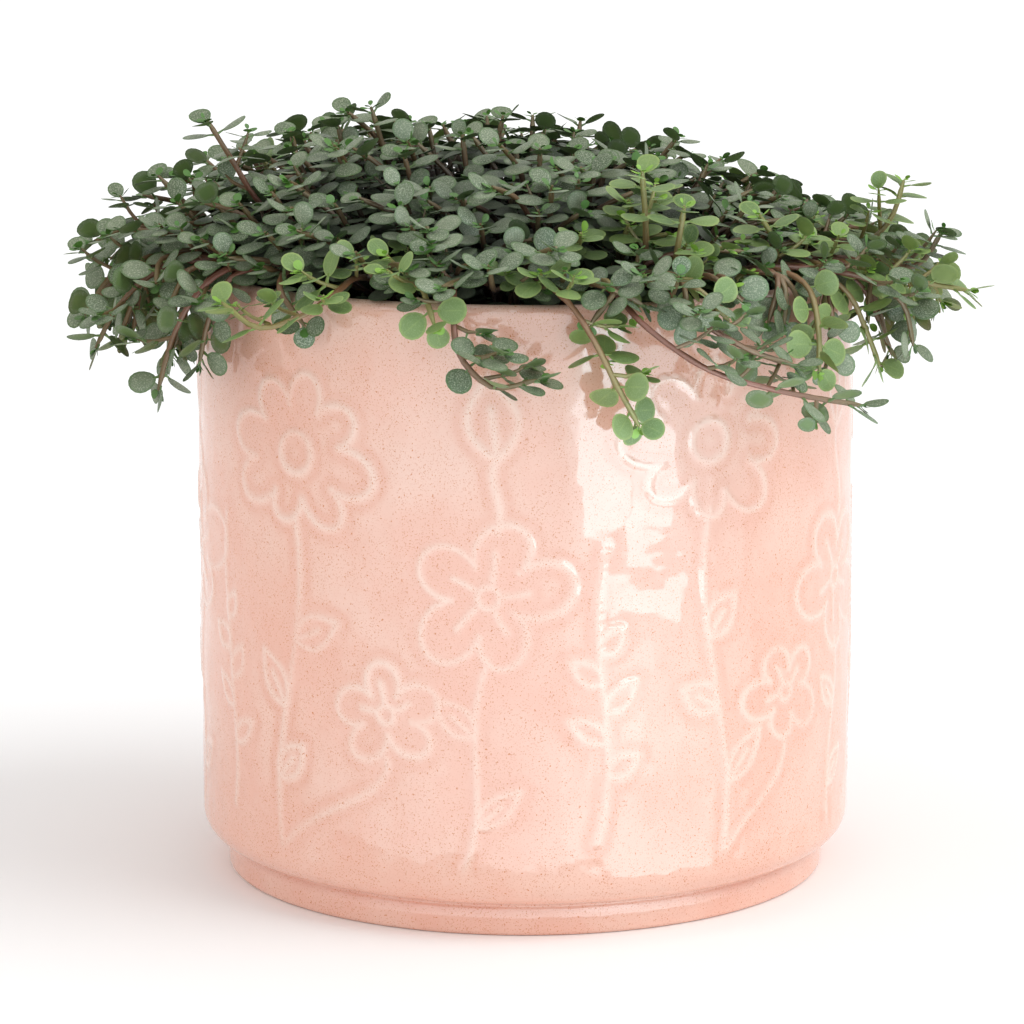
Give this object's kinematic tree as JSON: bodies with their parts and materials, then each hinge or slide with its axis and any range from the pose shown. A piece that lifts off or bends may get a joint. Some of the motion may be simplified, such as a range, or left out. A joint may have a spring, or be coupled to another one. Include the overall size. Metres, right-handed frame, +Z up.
{
  "type": "potted trailing pilea",
  "caption": "Small-leaved trailing pilea with silvery foliage mounding over the rim of a straight round glazed ceramic pot with a foot ring.",
  "frame": {"origin": "centre of the whole part's footprint at the bottom, on the pot's axis, where the foot ring rests", "axes": "+Z up along the pot's axis, -Y towards the front of the picture, +X to the right of the picture"},
  "size_m": [0.2073, 0.1854, 0.1782],
  "materials": {
    "pot": "gloss",
    "soil": "matte",
    "leaves_silver": "satin",
    "leaves_lime": "satin"
  },
  "bodies": {
    "root": {"pot": "pot", "shoot_cascade_long": "leaves_silver", "shoot_cascade_near": "leaves_silver", "shoot_drop_centre": "leaves_silver", "shoot_drop_front": "leaves_lime", "shoot_front_left_arch": "leaves_lime", "shoot_left_cupped": "leaves_silver", "shoot_left_drop": "leaves_silver", "shoot_left_low": "leaves_silver", "shoot_left_mid": "leaves_silver", "shoot_left_reach": "leaves_silver", "shoot_left_skirt": "leaves_silver", "shoot_left_upright": "leaves_silver", "shoot_lime_front": "leaves_lime", "shoot_lime_right": "leaves_lime", "shoot_lime_spire": "leaves_lime", "shoot_mound_01": "leaves_silver", "shoot_mound_02": "leaves_silver", "shoot_mound_03": "leaves_silver", "shoot_mound_04": "leaves_silver", "shoot_mound_05": "leaves_silver", "shoot_mound_06": "leaves_silver", "shoot_mound_07": "leaves_silver", "shoot_mound_08": "leaves_silver", "shoot_mound_09": "leaves_silver", "shoot_mound_10": "leaves_silver", "shoot_mound_11": "leaves_silver", "shoot_mound_12": "leaves_silver", "shoot_mound_13": "leaves_silver", "shoot_mound_14": "leaves_silver", "shoot_mound_15": "leaves_silver", "shoot_mound_16": "leaves_silver", "shoot_mound_17": "leaves_silver", "shoot_mound_18": "leaves_silver", "shoot_mound_19": "leaves_silver", "shoot_mound_20": "leaves_silver", "shoot_mound_21": "leaves_silver", "shoot_mound_22": "leaves_silver", "shoot_mound_23": "leaves_silver", "shoot_mound_25": "leaves_silver", "shoot_right_high": "leaves_lime", "shoot_right_hook": "leaves_silver", "shoot_right_reach": "leaves_lime", "shoot_right_skirt": "leaves_silver", "shoot_rim_01": "leaves_silver", "shoot_rim_02": "leaves_silver", "shoot_rim_03": "leaves_silver", "shoot_rim_04": "leaves_silver", "shoot_rim_05": "leaves_silver", "shoot_rim_06": "leaves_silver", "shoot_rim_07": "leaves_silver", "shoot_rim_tuft": "leaves_lime", "shoot_top_centre": "leaves_silver", "shoot_top_left_far": "leaves_silver", "shoot_top_left_near": "leaves_silver", "shoot_top_right": "leaves_silver", "soil": "soil"}
  },
  "joints": []
}
